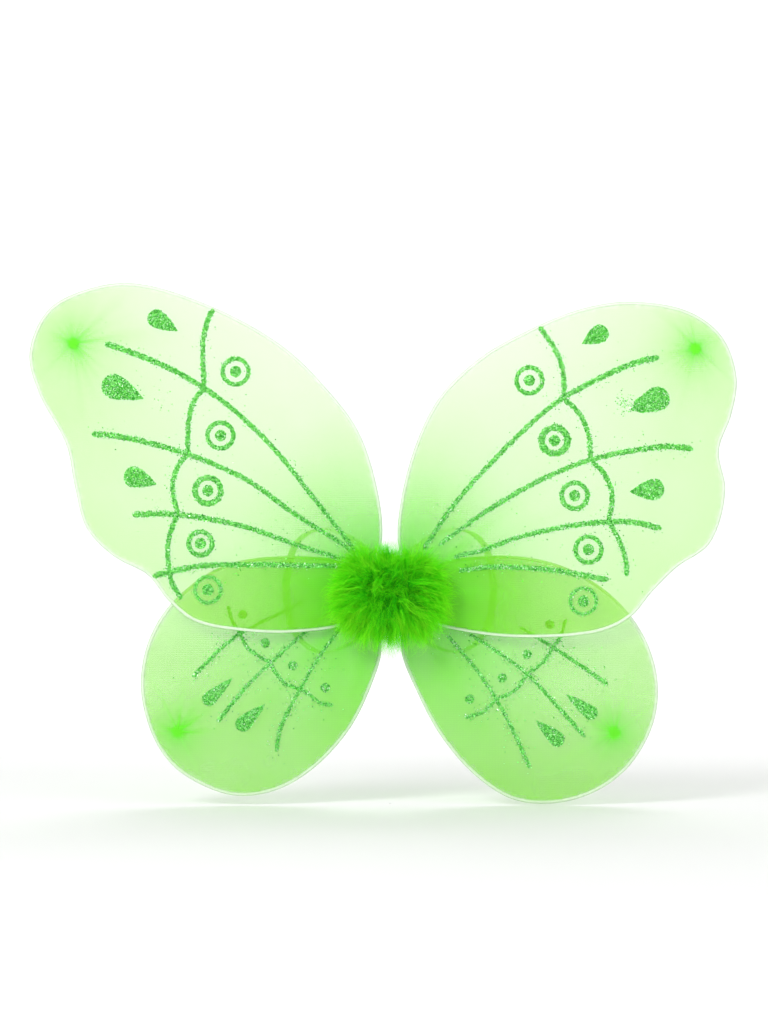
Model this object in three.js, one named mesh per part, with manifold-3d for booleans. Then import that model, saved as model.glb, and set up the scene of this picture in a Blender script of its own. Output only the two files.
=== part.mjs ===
// Dress-up fairy wings: four wire loops covered in stretched nylon, bound at a feathered centre.
// Millimetres. +X is right as seen from the feathers, +Z is up, +Y faces the wearer's back.
// The origin is the centre of the back pad's flat face.
import * as THREE from "three";
import { mergeVertices } from "three/addons/utils/BufferGeometryUtils.js";
import Module from "manifold-3d";

const wasm = await Module();
wasm.setup();

// Overall size. The outlines below are drawn for a set 561 wide and 413 tall.
const WING_SPAN = 561;
const WING_HEIGHT = 413;
const OUTLINE_SPAN = 561;
const OUTLINE_HEIGHT = 413;

// Wire and nylon
const CLEARANCE = 0.3;
const WIRE_DIAMETER = 2.4;
const WIRE_SIDES = 8;
const WIRE_STEPS = 52;
const NYLON_THICKNESS = 0.6;
const NECK_DIAMETER = 3.2;
const UPPER_SWEEP_DEG = 5;
const LOWER_SWEEP_DEG = 2;

// Back pad
const PAD_WIDTH = 44;
const PAD_HEIGHT = 60;
const PAD_THICKNESS = 2.5;
const PAD_CORNER = 14;

// Taped bundles that gather the wire ends on each side, and the core between them
const BUNDLE_OFFSET = 15;
const BUNDLE_RADIUS = 7;
const BUNDLE_HEIGHT = 40;
const BUNDLE_BEHIND = 4.5;
const BUNDLE_GAP = 0.7;
const WRAP_THICKNESS = 0.8;
const WRAP_WIDTH = 8;
const CORE_HEIGHT = 34;
const LAYER_SPACING = 6;
const DISC_RADIUS = 9;
const DISC_THICKNESS = 1.4;

// Feather pouf
const POUF_WIDTH = 94;
const POUF_HEIGHT = 88;
const POUF_DEPTH = 27;
const POUF_SLICE = 20;
const POUF_SPLIT = 0.4;
const POUF_DROP = 2;

// Toe knots, where each stocking end is gathered and tied
const KNOT_RADIUS = 5;
const KNOT_WAIST = 2.2;
const KNOT_LENGTH = 9;
const THREAD_DIAMETER = 1.2;

// Elastic shoulder straps
const STRAP_WIDTH = 8;
const STRAP_THICKNESS = 1.2;
const STRAP_OFFSET = 8;
const STRAP_OUT_DEG = 40;
const STRAP_DEPTH = 2;
const ANCHOR_WIDTH = 10;
const ANCHOR_PAST_CORE = 1;

// Depths that follow from the sizes above
const PAD_FRONT = -PAD_THICKNESS;
const BUNDLE_Y = PAD_FRONT - BUNDLE_BEHIND - BUNDLE_RADIUS;
const UPPER_Y = BUNDLE_Y - LAYER_SPACING / 2;
const LOWER_Y = BUNDLE_Y + LAYER_SPACING / 2;
const WRAP_BACK = PAD_FRONT - CLEARANCE;
const WRAP_FRONT = BUNDLE_Y - BUNDLE_RADIUS;
const WRAP_HALF_WIDTH = BUNDLE_OFFSET - BUNDLE_RADIUS - BUNDLE_GAP;
const WRAP_DEPTH = WRAP_BACK - WRAP_FRONT;
const WRAP_Y = (WRAP_BACK + WRAP_FRONT) / 2;
const CORE_INSET = WRAP_THICKNESS + CLEARANCE;
const DISC_FRONT = WRAP_FRONT - CLEARANCE - DISC_THICKNESS;
const POUF_BACK = DISC_FRONT - CLEARANCE;

// Where the wire ends meet a bundle: one above or below it, one beside it
const END_X = BUNDLE_OFFSET - 1;
const END_Z = BUNDLE_HEIGHT / 2 + WIRE_DIAMETER / 3;
const SIDE_X = BUNDLE_OFFSET + BUNDLE_RADIUS + WIRE_DIAMETER / 3;
const SIDE_Z = BUNDLE_HEIGHT / 5;

// Wing outlines, each from the inner edge round the tip and back along the opposite edge
const UPPER_LEFT = [
  [-8, 42], [-11, 78], [-27, 128], [-56, 166], [-88, 196], [-142, 226],
  [-200, 244], [-233, 242], [-271, 224], [-286, 190], [-279, 160],
  [-257, 118], [-250, 84], [-241, 52], [-220, 30], [-193, 15],
  [-176, -6], [-156, -22], [-116, -30], [-76, -31], [-36, -24],
];
const UPPER_RIGHT = [
  [8, 40], [11, 76], [24, 122], [42, 156], [72, 185], [104, 204],
  [152, 224], [192, 230], [238, 222], [264, 202], [275, 170],
  [271, 142], [261, 113], [266, 80], [254, 40], [228, 21],
  [208, 1], [192, -18], [168, -30], [104, -35], [58, -30], [37, -24],
];
const LOWER_LEFT = [
  [-8, -45], [-16, -74], [-34, -110], [-64, -142], [-93, -158],
  [-122, -162], [-149, -154], [-173, -138], [-189, -114], [-198, -76],
  [-192, -40], [-174, -10], [-141, 16], [-112, 25], [-66, 27], [-40, 23],
];
const LOWER_RIGHT = [
  [10, -45], [24, -82], [42, -115], [69, -146], [99, -165],
  [131, -168], [163, -159], [190, -139], [209, -106], [213, -74],
  [203, -38], [181, -8], [148, 15], [112, 26], [70, 27], [42, 22],
];

// Toe knot centres
const UPPER_LEFT_KNOT = [-253, 198];
const UPPER_RIGHT_KNOT = [244, 194];
const LOWER_LEFT_KNOT = [-170, -112];
const LOWER_RIGHT_KNOT = [180, -113];

// A strap loop, as distance out from its anchors and height
const STRAP_LOOP = [
  [16, 34], [42, 45], [76, 50], [108, 38], [122, 4],
  [112, -34], [80, -51], [42, -45], [16, -34],
];

function material(colour, roughness, extra = {}) {
  return new THREE.MeshStandardMaterial({ color: colour, roughness, ...extra });
}
const WIRE = material(0xf2f4ec, 0.45);
const NYLON = material(0xc9f2b0, 0.6, { transparent: true, opacity: 0.55 });
const GATHER = material(0x8de45a, 0.7);
const THREAD = material(0x4fb02c, 0.8);
const TAPE = material(0xe9efe2, 0.6);
const FELT = material(0x7fd35a, 0.95);
const FEATHER = material(0x2fa512, 0.9);
const ELASTIC = material(0xbfeaa6, 0.8);

// One closed geometry from corners and triangles, turned so that its faces point out
function closedGeometry(corners, triangles) {
  let volume = 0;
  for (const [a, b, c] of triangles) {
    volume += corners[a].dot(corners[b].clone().cross(corners[c]));
  }
  const facing = volume < 0 ? triangles.map(([a, b, c]) => [a, c, b]) : triangles;
  const geometry = new THREE.BufferGeometry().setFromPoints(corners);
  geometry.setIndex(facing.flat());
  return geometry;
}

// A section carried along a path in the XZ plane: each section point is (in-plane offset, Y)
function sweep(path, section) {
  const corners = [];
  const triangles = [];
  const count = section.length;
  const last = path.length - 1;
  path.forEach((point, i) => {
    const before = path[Math.max(i - 1, 0)];
    const after = path[Math.min(i + 1, last)];
    const along = after.clone().sub(before).normalize();
    const across = new THREE.Vector3(-along.z, 0, along.x);
    for (const [offset, y] of section) {
      corners.push(point.clone().addScaledVector(across, offset).add(new THREE.Vector3(0, y, 0)));
    }
  });
  for (let i = 0; i < last; i++) {
    for (let j = 0; j < count; j++) {
      const a = i * count + j;
      const b = i * count + ((j + 1) % count);
      triangles.push([a, b, b + count], [a, b + count, a + count]);
    }
  }
  for (let j = 1; j < count - 1; j++) {
    triangles.push([0, j + 1, j]);
    triangles.push([last * count, last * count + j, last * count + j + 1]);
  }
  return closedGeometry(corners, triangles);
}

function roundSection(radius, sides) {
  const points = [];
  for (let i = 0; i < sides; i++) {
    const angle = ((i + 0.5) / sides) * 2 * Math.PI;
    points.push([radius * Math.cos(angle), radius * Math.sin(angle)]);
  }
  return points;
}

// A profile of (radius, Y) turned about the Y axis. Its two ends lie on the axis.
function revolve(profile, sides, radiusAt = (radius) => radius) {
  const corners = [new THREE.Vector3(0, profile[0][1], 0)];
  const triangles = [];
  const rings = profile.slice(1, -1);
  for (const [radius, y] of rings) {
    for (let i = 0; i < sides; i++) {
      const angle = (i / sides) * 2 * Math.PI;
      const r = radiusAt(radius, angle, y);
      corners.push(new THREE.Vector3(r * Math.cos(angle), y, r * Math.sin(angle)));
    }
  }
  const end = corners.length;
  corners.push(new THREE.Vector3(0, profile[profile.length - 1][1], 0));
  for (let i = 0; i < sides; i++) {
    const next = (i + 1) % sides;
    triangles.push([0, 1 + next, 1 + i]);
    triangles.push([end, end - sides + i, end - sides + next]);
    for (let k = 0; k < rings.length - 1; k++) {
      const a = 1 + k * sides + i;
      const b = 1 + k * sides + next;
      triangles.push([a, b, b + sides], [a, b + sides, a + sides]);
    }
  }
  return closedGeometry(corners, triangles);
}

// A flat outline in the XZ plane given a thickness, centred on y = 0
function slab(outline, thickness) {
  const shape = new THREE.Shape(outline.map(([x, z]) => new THREE.Vector2(x, z)));
  const geometry = new THREE.ExtrudeGeometry(shape, { depth: thickness, bevelEnabled: false });
  geometry.translate(0, 0, -thickness / 2);
  geometry.rotateX(Math.PI / 2);
  return geometry;
}

function roundedOutline(width, height, corner, steps = 6) {
  const points = [];
  const turns = [[1, 1], [-1, 1], [-1, -1], [1, -1]];
  turns.forEach(([sx, sz], quarter) => {
    for (let i = 0; i <= steps; i++) {
      const angle = ((quarter + i / steps) * Math.PI) / 2;
      const x = sx * (width / 2 - corner) + corner * Math.cos(angle);
      const z = sz * (height / 2 - corner) + corner * Math.sin(angle);
      points.push([x, z]);
    }
  });
  return points;
}

function asSolid(geometry) {
  const bare = new THREE.BufferGeometry();
  bare.setAttribute("position", geometry.getAttribute("position"));
  bare.setIndex(geometry.index);
  const merged = mergeVertices(bare, 1e-4);
  return new wasm.Manifold(
    new wasm.Mesh({
      numProp: 3,
      vertProperties: new Float32Array(merged.attributes.position.array),
      triVerts: new Uint32Array(merged.index.array),
    }),
  );
}

function asGeometry(solid) {
  const mesh = solid.getMesh();
  const geometry = new THREE.BufferGeometry();
  geometry.setAttribute("position", new THREE.BufferAttribute(mesh.vertProperties, 3));
  geometry.setIndex(new THREE.BufferAttribute(mesh.triVerts, 1));
  return geometry;
}

function named(name, geometry, look) {
  const shown = geometry.index ? geometry.toNonIndexed() : geometry;
  shown.computeVertexNormals();
  const mesh = new THREE.Mesh(shown, look);
  mesh.name = name;
  return mesh;
}

function smoothPath(points, steps) {
  const vectors = points.map(([x, z]) => new THREE.Vector3(x, 0, z));
  const curve = new THREE.CatmullRomCurve3(vectors, false, "centripetal");
  return curve.getSpacedPoints(steps);
}

function sized([x, z]) {
  return [(x * WING_SPAN) / OUTLINE_SPAN, (z * WING_HEIGHT) / OUTLINE_HEIGHT];
}

// One wing: wire loop, nylon, gathered neck, toe knot and its thread.
// side is -1 for left and 1 for right; level is 1 for upper and -1 for lower.
function makeWing(name, outline, knot, side, level) {
  const start = [side * END_X, level * END_Z];
  const finish = [side * SIDE_X, -level * SIDE_Z];
  const path = smoothPath([start, ...outline.map(sized), finish], WIRE_STEPS * 2);
  const wireRadius = WIRE_DIAMETER / 2;
  const neckRadius = NECK_DIAMETER / 2;
  const wirePath = path.filter((point, i) => i % 2 === 0);
  const wire = sweep(wirePath, roundSection(wireRadius, WIRE_SIDES));
  const wireSpace = sweep(wirePath, roundSection(wireRadius + CLEARANCE, WIRE_SIDES));

  // The neck bows round the bundle from one leg of the wire to the other.
  const neckEnds = [wirePath[1], wirePath[wirePath.length - 2]];
  const bow = BUNDLE_OFFSET + BUNDLE_RADIUS + neckRadius + 2.5;
  const neckPath = smoothPath(
    [
      [neckEnds[0].x, neckEnds[0].z],
      [side * (bow - 5), level * (END_Z + 3)],
      [side * (bow - 0.5), level * SIDE_Z * 1.5],
      [side * bow, 0],
      [neckEnds[1].x, neckEnds[1].z],
    ],
    10,
  );
  const neckSpace = sweep(neckPath, roundSection(neckRadius + CLEARANCE, WIRE_SIDES));
  const neck = asSolid(sweep(neckPath, roundSection(neckRadius, WIRE_SIDES)));
  const sheet = [...wirePath.slice(1, -1), ...neckPath.slice(1, -1).reverse()];
  const nylon = asSolid(slab(sheet.map((point) => [point.x, point.z]), NYLON_THICKNESS))
    .subtract(asSolid(wireSpace))
    .subtract(asSolid(neckSpace));

  // The toe knot is a fluted bulb on the wearer's side, drawn in at a waist where the thread goes.
  const [knotX, knotZ] = sized(knot);
  const knotBase = NYLON_THICKNESS / 2 + CLEARANCE;
  const waist = knotBase + KNOT_LENGTH * 0.45;
  const bulb = revolve(
    [
      [0, knotBase],
      [KNOT_RADIUS, knotBase],
      [KNOT_RADIUS * 0.75, knotBase + KNOT_LENGTH * 0.15],
      [KNOT_WAIST, waist - THREAD_DIAMETER / 2],
      [KNOT_WAIST, waist + THREAD_DIAMETER / 2],
      [KNOT_RADIUS * 0.75, knotBase + KNOT_LENGTH * 0.75],
      [KNOT_RADIUS * 0.6, knotBase + KNOT_LENGTH * 0.95],
      [0, knotBase + KNOT_LENGTH],
    ],
    24,
    (radius, angle) => (radius > KNOT_WAIST ? radius * (1 + 0.08 * Math.cos(8 * angle)) : radius),
  );
  const thread = threadRing(KNOT_WAIST + CLEARANCE + THREAD_DIAMETER / 2, THREAD_DIAMETER / 2);
  bulb.translate(knotX, 0, knotZ);
  thread.translate(knotX, waist, knotZ);

  const parts = new THREE.Group();
  parts.add(named(name + "_wire", wire, WIRE));
  parts.add(named(name + "_nylon", asGeometry(nylon), NYLON));
  parts.add(named(name + "_neck", asGeometry(neck.subtract(asSolid(wireSpace))), GATHER));
  parts.add(named(name + "_toe_knot", bulb, GATHER));
  parts.add(named(name + "_toe_thread", thread, THREAD));
  parts.position.set(-side * BUNDLE_OFFSET, (level > 0 ? UPPER_Y : LOWER_Y) - BUNDLE_Y, 0);

  const swept = new THREE.Group();
  swept.add(parts);
  swept.position.set(side * BUNDLE_OFFSET, BUNDLE_Y, 0);
  swept.rotation.z = -side * THREE.MathUtils.degToRad(level > 0 ? UPPER_SWEEP_DEG : LOWER_SWEEP_DEG);
  return swept;
}

// A ring of round section about the Y axis
function threadRing(radius, thickness) {
  const geometry = new THREE.TorusGeometry(radius, thickness, 5, 16);
  geometry.rotateX(Math.PI / 2);
  return geometry;
}

// A taped bundle stands upright on its fold axis, barrel shaped with narrowed ends.
function makeBundle(name, side) {
  const half = BUNDLE_HEIGHT / 2;
  const barrel = revolve(
    [
      [0, -half],
      [BUNDLE_RADIUS * 0.72, -half],
      [BUNDLE_RADIUS * 0.92, -half * 0.85],
      [BUNDLE_RADIUS, -half * 0.6],
      [BUNDLE_RADIUS, half * 0.6],
      [BUNDLE_RADIUS * 0.92, half * 0.85],
      [BUNDLE_RADIUS * 0.72, half],
      [0, half],
    ],
    24,
  );
  barrel.rotateX(Math.PI / 2);
  barrel.translate(side * BUNDLE_OFFSET, BUNDLE_Y, 0);
  return named(name, barrel, TAPE);
}

// A band wound round the core, open through the middle
function makeWrap(name, level) {
  const block = (grow) => {
    const width = 2 * WRAP_HALF_WIDTH - grow;
    const depth = WRAP_DEPTH - grow;
    const outline = roundedOutline(width, depth, 3 - grow / 2.5, 3);
    const geometry = slab(outline, WRAP_WIDTH + grow * 2);
    geometry.rotateX(Math.PI / 2);
    return asSolid(geometry);
  };
  const ring = block(0).subtract(block(2 * WRAP_THICKNESS));
  const geometry = asGeometry(ring);
  geometry.translate(0, WRAP_Y, level * SIDE_Z);
  return named(name, geometry, TAPE);
}

function makeCore() {
  const outline = roundedOutline(
    2 * (WRAP_HALF_WIDTH - CORE_INSET),
    WRAP_DEPTH - 2 * CORE_INSET,
    2,
    3,
  );
  const geometry = slab(outline, CORE_HEIGHT);
  geometry.rotateX(Math.PI / 2);
  geometry.translate(0, WRAP_Y, 0);
  return named("core_binding", geometry, TAPE);
}

function makeDisc() {
  const disc = revolve(
    [
      [0, -DISC_THICKNESS / 2],
      [DISC_RADIUS, -DISC_THICKNESS / 2],
      [DISC_RADIUS, DISC_THICKNESS / 2],
      [0, DISC_THICKNESS / 2],
    ],
    28,
  );
  disc.translate(0, DISC_FRONT + DISC_THICKNESS / 2, 0);
  return named("front_disc", disc, FELT);
}

// The pouf is a ruffled half ellipsoid, split into a middle and two sides that the wings can press.
function makePouf() {
  const profile = [[0, 0]];
  const steps = 7;
  for (let i = 0; i < steps; i++) {
    const angle = (i / steps) * (Math.PI / 2);
    profile.push([Math.cos(angle), -Math.sin(angle)]);
  }
  profile.push([0, -1]);
  const ruffled = revolve(
    profile,
    48,
    (radius, angle, y) => radius * (1 + 0.07 * Math.cos(12 * angle + 5 * y)),
  );
  ruffled.scale(POUF_WIDTH / 2, POUF_DEPTH, POUF_HEIGHT / 2);
  ruffled.translate(0, POUF_BACK, -POUF_DROP);
  const whole = asSolid(ruffled);
  const bounds = [
    ["pouf_left", -POUF_WIDTH, -POUF_SLICE / 2 - POUF_SPLIT / 2],
    ["pouf_centre", -POUF_SLICE / 2 + POUF_SPLIT / 2, POUF_SLICE / 2 - POUF_SPLIT / 2],
    ["pouf_right", POUF_SLICE / 2 + POUF_SPLIT / 2, POUF_WIDTH],
  ];
  return bounds.map(([name, low, high]) => {
    const box = new THREE.BoxGeometry(high - low, 4 * POUF_DEPTH, 2 * POUF_HEIGHT);
    box.translate((low + high) / 2, POUF_BACK, 0);
    return named(name, asGeometry(whole.intersect(asSolid(box))), FEATHER);
  });
}

// A strap anchor: a folded tab stitched behind the pad's front, its foot over the pad's edge
function makeAnchor(name, side, level) {
  const back = PAD_FRONT - CLEARANCE;
  const edge = PAD_HEIGHT / 2 + CLEARANCE;
  const foot = edge + STRAP_THICKNESS;
  const profile = [
    [back - STRAP_THICKNESS, CORE_HEIGHT / 2 + ANCHOR_PAST_CORE],
    [back, CORE_HEIGHT / 2 + ANCHOR_PAST_CORE],
    [back, edge],
    [0, edge],
    [0, foot],
    [back - STRAP_THICKNESS, foot],
  ];
  const shape = new THREE.Shape(profile.map(([y, z]) => new THREE.Vector2(y, level * z)));
  const geometry = new THREE.ExtrudeGeometry(shape, { depth: ANCHOR_WIDTH, bevelEnabled: false });
  geometry.translate(0, 0, -ANCHOR_WIDTH / 2);
  geometry.rotateX(Math.PI / 2);
  geometry.rotateZ(Math.PI / 2);
  geometry.translate(side * STRAP_OFFSET, 0, 0);
  return named(name, geometry, ELASTIC);
}

// A flat elastic loop standing upright, its two ends on the anchors' feet
function makeStrap(name, side) {
  const rise = PAD_HEIGHT / 2 + 2 * CLEARANCE + STRAP_THICKNESS * 1.5;
  const path = smoothPath([[0, rise], ...STRAP_LOOP, [0, -rise]], 44);
  const a = STRAP_THICKNESS / 2;
  const b = STRAP_WIDTH / 2;
  const strap = named(name, sweep(path, [[-a, -b], [a, -b], [a, b], [-a, b]]), ELASTIC);
  strap.position.set(side * STRAP_OFFSET, -STRAP_DEPTH, 0);
  strap.rotation.z = Math.PI / 2 - side * THREE.MathUtils.degToRad(STRAP_OUT_DEG);
  return strap;
}

function makePad() {
  const geometry = slab(roundedOutline(PAD_WIDTH, PAD_HEIGHT, PAD_CORNER, 8), PAD_THICKNESS);
  geometry.translate(0, -PAD_THICKNESS / 2, 0);
  return named("back_pad", geometry, FELT);
}

const wings = new THREE.Group();
wings.name = "fairy_wings";
wings.add(makePad());
wings.add(makeCore());
wings.add(makeWrap("core_wrap_upper", 1));
wings.add(makeWrap("core_wrap_lower", -1));
wings.add(makeDisc());
wings.add(...makePouf());
wings.add(makeBundle("left_root_bundle", -1));
wings.add(makeBundle("right_root_bundle", 1));
wings.add(makeWing("upper_left", UPPER_LEFT, UPPER_LEFT_KNOT, -1, 1));
wings.add(makeWing("upper_right", UPPER_RIGHT, UPPER_RIGHT_KNOT, 1, 1));
wings.add(makeWing("lower_left", LOWER_LEFT, LOWER_LEFT_KNOT, -1, -1));
wings.add(makeWing("lower_right", LOWER_RIGHT, LOWER_RIGHT_KNOT, 1, -1));
for (const [sideName, side] of [["left", -1], ["right", 1]]) {
  wings.add(makeAnchor(sideName + "_strap_anchor_top", side, 1));
  wings.add(makeAnchor(sideName + "_strap_anchor_bottom", side, -1));
  wings.add(makeStrap(sideName + "_strap", side));
}

export default wings;
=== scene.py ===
"""Fairy wings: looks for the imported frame. Lengths are millimetres here until a mesh is made."""

import math

import bmesh
import bpy
import numpy as np
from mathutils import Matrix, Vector
from mathutils.geometry import delaunay_2d_cdt


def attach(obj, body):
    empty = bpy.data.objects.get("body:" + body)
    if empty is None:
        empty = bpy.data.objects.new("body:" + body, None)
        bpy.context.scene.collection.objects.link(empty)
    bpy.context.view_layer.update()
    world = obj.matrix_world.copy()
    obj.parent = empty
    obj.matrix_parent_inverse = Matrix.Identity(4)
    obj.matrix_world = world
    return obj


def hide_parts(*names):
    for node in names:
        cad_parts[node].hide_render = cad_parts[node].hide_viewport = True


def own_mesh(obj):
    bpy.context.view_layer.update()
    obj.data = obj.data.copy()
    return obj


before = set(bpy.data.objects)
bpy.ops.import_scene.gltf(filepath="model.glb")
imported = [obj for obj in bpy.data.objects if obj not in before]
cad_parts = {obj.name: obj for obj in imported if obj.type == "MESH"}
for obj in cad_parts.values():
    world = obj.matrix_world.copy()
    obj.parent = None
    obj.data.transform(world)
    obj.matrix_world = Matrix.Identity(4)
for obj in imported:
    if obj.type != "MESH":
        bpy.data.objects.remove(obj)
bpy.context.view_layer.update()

MM = 0.001
UPPER, LOWER = 1, -1
LEFT, RIGHT = -1, 1
BUNDLE_X, BUNDLE_Y = 15.0, -14.0
PLANE_Y = {UPPER: -3.0, LOWER: 3.0}  # each wing plane from the bundle's axis
SWEEP = {UPPER: math.radians(5), LOWER: math.radians(2)}
WIRE_R = 1.2
SKIN_R = 1.42  # the nylon's distance from the wire's axis
SIDES = {"left": LEFT, "right": RIGHT}
LEVELS = {"upper": UPPER, "lower": LOWER}

# Outline of each wing from its inner edge round the tip, the toe knot and the glitter print.
WINGS = {
    "upper_left": {
        "outline": [(-8, 42), (-11, 78), (-27, 128), (-56, 166), (-88, 196), (-142, 226), (-200, 244),
                    (-233, 242), (-271, 224), (-286, 190), (-279, 160), (-257, 118), (-250, 84),
                    (-241, 52), (-220, 30), (-193, 15), (-176, -6), (-156, -22), (-116, -30),
                    (-76, -31), (-36, -24)],
        "knot": (-253, 198),
        "veins": [
            [(-228, 198), (-210, 192), (-168, 174), (-130, 149), (-92, 113), (-56, 68), (-27, 32)],
            [(-238, 126), (-216, 124), (-162, 110), (-116, 90), (-76, 62), (-38, 38), (-30, 32)],
            [(-206, 62), (-170, 62), (-116, 52), (-76, 38), (-38, 26), (-30, 23)],
            [(-190, 13), (-152, 21), (-116, 22), (-56, 21), (-36, 21)],
        ],
        "scallops": [
            [(-142, 226), (-147, 214), (-150, 198), (-149, 163)],
            [(-149, 163), (-156, 154), (-161, 140), (-162, 125), (-162, 110)],
            [(-162, 110), (-169, 102), (-173, 92), (-174, 80), (-170, 62)],
            [(-170, 62), (-175, 50), (-178, 36), (-177, 17)],
            [(-177, 17), (-174, 6), (-167, -5)],
        ],
        "rings": [(-124, 176, 12, 1.0), (-136, 125, 12, 1.0), (-146, 81, 12, 1.25),
                  (-152, 39, 11, 1.05), (-146, 2, 12, 0.8)],
        "drops": [((-187, 218), (-170, 208), 12), ((-221, 164), (-197, 154), 16),
                  ((-205, 92), (-187, 86), 13.5)],
        "dots": [],
        "spills": [((-182, 154), 12, 6), ((-196, 162), 10, 5)],
        "vein_width": 3.8,
    },
    "upper_right": {
        "outline": [(8, 40), (11, 76), (24, 122), (42, 156), (72, 185), (104, 204), (152, 224),
                    (192, 230), (238, 222), (264, 202), (275, 170), (271, 142), (261, 113),
                    (266, 80), (254, 40), (228, 21), (208, 1), (192, -18), (168, -30),
                    (104, -35), (58, -30), (37, -24)],
        "knot": (244, 194),
        "veins": [
            [(215, 187), (194, 182), (144, 158), (124, 144), (86, 108), (52, 70), (27, 34)],
            [(242, 114), (222, 116), (162, 106), (120, 89), (80, 66), (40, 38)],
            [(217, 51), (192, 56), (152, 54), (104, 44), (76, 34), (52, 28)],
            [(175, 10), (128, 18), (80, 20), (56, 17)],
        ],
        "scallops": [
            [(120, 212), (132, 194), (138, 180), (140, 154)],
            [(140, 154), (152, 142), (159, 126), (161, 106)],
            [(161, 106), (173, 92), (178, 76), (175, 57)],
            [(175, 57), (183, 42), (189, 24), (189, 13)],
        ],
        "rings": [(112, 169, 12, 1.0), (132, 121, 12, 1.5), (148, 77, 12, 1.05),
                  (159, 34, 12, 1.0), (155, -7, 12, 0.75)],
        "drops": [((168, 206), (154, 198), 12), ((214, 154), (192, 145), 16),
                  ((211, 82), (192, 80), 14)],
        "dots": [(201, 149, 6.2)],
        "spills": [((188, 150), 90, 4.5)],
        "vein_width": 3.8,
    },
    "lower_left": {
        "outline": [(-8, -45), (-16, -74), (-34, -110), (-64, -142), (-93, -158), (-122, -162),
                    (-149, -154), (-173, -138), (-189, -114), (-198, -76), (-192, -40),
                    (-174, -10), (-141, 16), (-112, 25), (-66, 27), (-40, 23)],
        "knot": (-170, -112),
        "veins": [
            [(-158, -68), (-136, -46), (-121, -34), (-96, -21), (-70, -8)],
            [(-138, -104), (-117, -78), (-96, -57), (-70, -34), (-48, -16)],
            [(-91, -128), (-88, -110), (-72, -78), (-56, -51), (-37, -26)],
        ],
        "scallops": [
            [(-130, -11), (-126, -24), (-120, -34)],
            [(-120, -34), (-114, -45), (-106, -51), (-96, -57)],
            [(-96, -57), (-91, -66), (-83, -74), (-71, -78)],
            [(-71, -78), (-64, -83), (-56, -89), (-46, -91)],
        ],
        "rings": [],
        "drops": [((-145, -86), (-126, -69), 9), ((-118, -106), (-100, -90), 10)],
        "dots": [(-118, -18, 3.6), (-100, -41, 3.6), (-78, -59, 3.6), (-52, -77, 3.6)],
        "vein_width": 2.7,
    },
    "lower_right": {
        "outline": [(10, -45), (24, -82), (42, -115), (69, -146), (99, -165), (131, -168),
                    (163, -159), (190, -139), (209, -106), (213, -74), (203, -38), (181, -8),
                    (148, 15), (112, 26), (70, 27), (42, 22)],
        "knot": (180, -113),
        "veins": [
            [(174, -74), (160, -64), (130, -44), (104, -28)],
            [(156, -116), (131, -88), (110, -66), (86, -48), (64, -34)],
            [(112, -141), (99, -112), (85, -86), (69, -62), (46, -35)],
        ],
        "scallops": [
            [(141, -22), (136, -37), (130, -45)],
            [(130, -45), (123, -56), (110, -66)],
            [(110, -66), (100, -79), (85, -86)],
            [(85, -86), (75, -96), (60, -101)],
        ],
        "rings": [],
        "drops": [((161, -97), (141, -82), 9), ((134, -118), (117, -103), 10)],
        "dots": [(128, -26, 3.6), (110, -50, 3.6), (90, -69, 3.6), (64, -86, 3.6)],
        "vein_width": 2.7,
    },
}

# How much light a wing's two layers stop together: least where the nylon is stretched most, more
# for each millimetre down and outward, and gathered toward the toe knot and the neck.
DENSITY = {
    UPPER: {"least": 0.16, "top": 240, "down": 0.0010, "outward": 0.0008,
            "knot": 0.26, "neck": 0.60, "neck_reach": 80},
    LOWER: {"least": 0.58, "top": 0, "down": 0.0011, "outward": 0.0,
            "knot": 0.10, "neck": 0.33, "neck_reach": 105},
}
KNOT_REACH = 42
NECK_STRETCH = 1.35  # the gathered nylon reaches further up and down than outward


# ---------------------------------------------------------------- small tools

def smooth_line(points, spacing):
    """A centripetal curve through the points, resampled at about this spacing."""
    p = np.asarray(points, float)
    ext = np.vstack([2 * p[0] - p[1], p, 2 * p[-1] - p[-2]])
    out = []
    for i in range(1, len(ext) - 2):
        p0, p1, p2, p3 = ext[i - 1 : i + 3]
        t = np.cumsum([0] + [np.linalg.norm(b - a) ** 0.5 for a, b in ((p0, p1), (p1, p2), (p2, p3))])
        s = np.linspace(t[1], t[2], 16, endpoint=False)[:, None]
        a1 = (t[1] - s) / (t[1] - t[0]) * p0 + (s - t[0]) / (t[1] - t[0]) * p1
        a2 = (t[2] - s) / (t[2] - t[1]) * p1 + (s - t[1]) / (t[2] - t[1]) * p2
        a3 = (t[3] - s) / (t[3] - t[2]) * p2 + (s - t[2]) / (t[3] - t[2]) * p3
        b1 = (t[2] - s) / (t[2] - t[0]) * a1 + (s - t[0]) / (t[2] - t[0]) * a2
        b2 = (t[3] - s) / (t[3] - t[1]) * a2 + (s - t[1]) / (t[3] - t[1]) * a3
        out.append((t[2] - s) / (t[2] - t[1]) * b1 + (s - t[1]) / (t[2] - t[1]) * b2)
    out = np.vstack(out + [p[-1:]])
    run = np.concatenate([[0], np.cumsum(np.linalg.norm(np.diff(out, axis=0), axis=1))])
    steps = max(2, int(round(run[-1] / spacing)))
    at = np.linspace(0, run[-1], steps + 1)
    return np.column_stack([np.interp(at, run, out[:, k]) for k in range(out.shape[1])])


def tangents(line):
    """The unit direction of a line at each of its points."""
    t = np.gradient(line, axis=0)
    return t / np.maximum(np.linalg.norm(t, axis=1, keepdims=True), 1e-9)


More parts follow.
